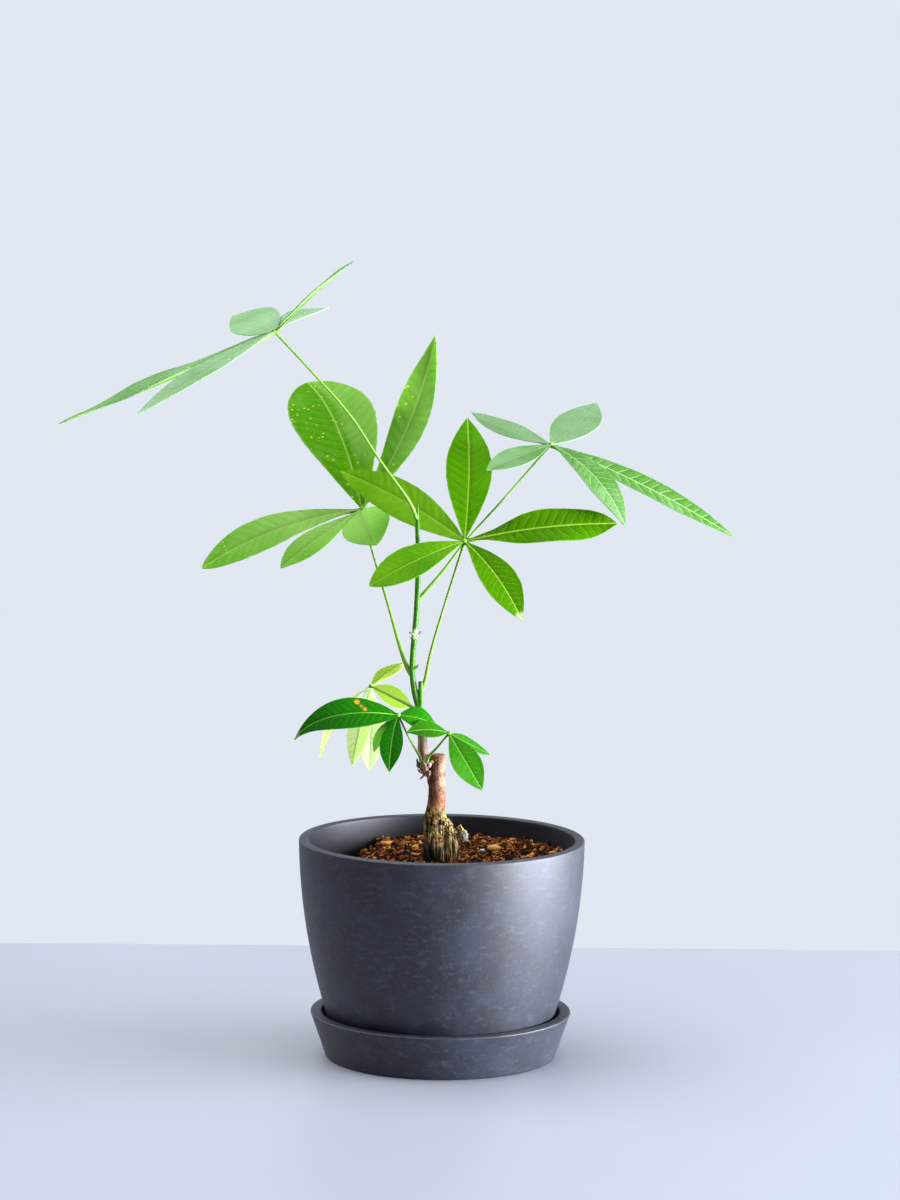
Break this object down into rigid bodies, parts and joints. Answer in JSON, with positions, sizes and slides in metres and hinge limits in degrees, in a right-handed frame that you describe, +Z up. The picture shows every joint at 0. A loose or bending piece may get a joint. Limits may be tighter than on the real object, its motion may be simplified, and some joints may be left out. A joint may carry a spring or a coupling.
{
  "type": "potted money tree",
  "caption": "Young money tree with hand-shaped leaves on a green shoot from a sawn trunk, in a tapered round pot on its saucer.",
  "frame": {"origin": "centre of the saucer's flat underside", "axes": "+Z up along the pot's axis, +X to the picture's right, +Y away from its camera"},
  "size_m": [0.3515, 0.1833, 0.4194],
  "materials": {
    "pot_body": "matte moulded composite, dark blue-grey",
    "potting_mix": "loose bark and coir crumbs",
    "bark": "rough bark",
    "green_bark": "smooth green bark",
    "old_leaf": "satin leaf",
    "leaf": "satin leaf",
    "dark_leaf": "satin leaf",
    "young_leaf": "satin leaf"
  },
  "bodies": {
    "root": {"saucer": "pot_body", "pot": "pot_body", "soil": "potting_mix", "trunk": "bark", "green_stem": "green_bark", "leaf_top_left": "old_leaf", "leaf_top_right": "old_leaf", "leaf_middle_right": "leaf", "leaf_middle_left": "leaf", "leaf_low_left": "dark_leaf", "leaf_low_right": "dark_leaf", "leaf_low_back": "young_leaf"}
  },
  "joints": []
}
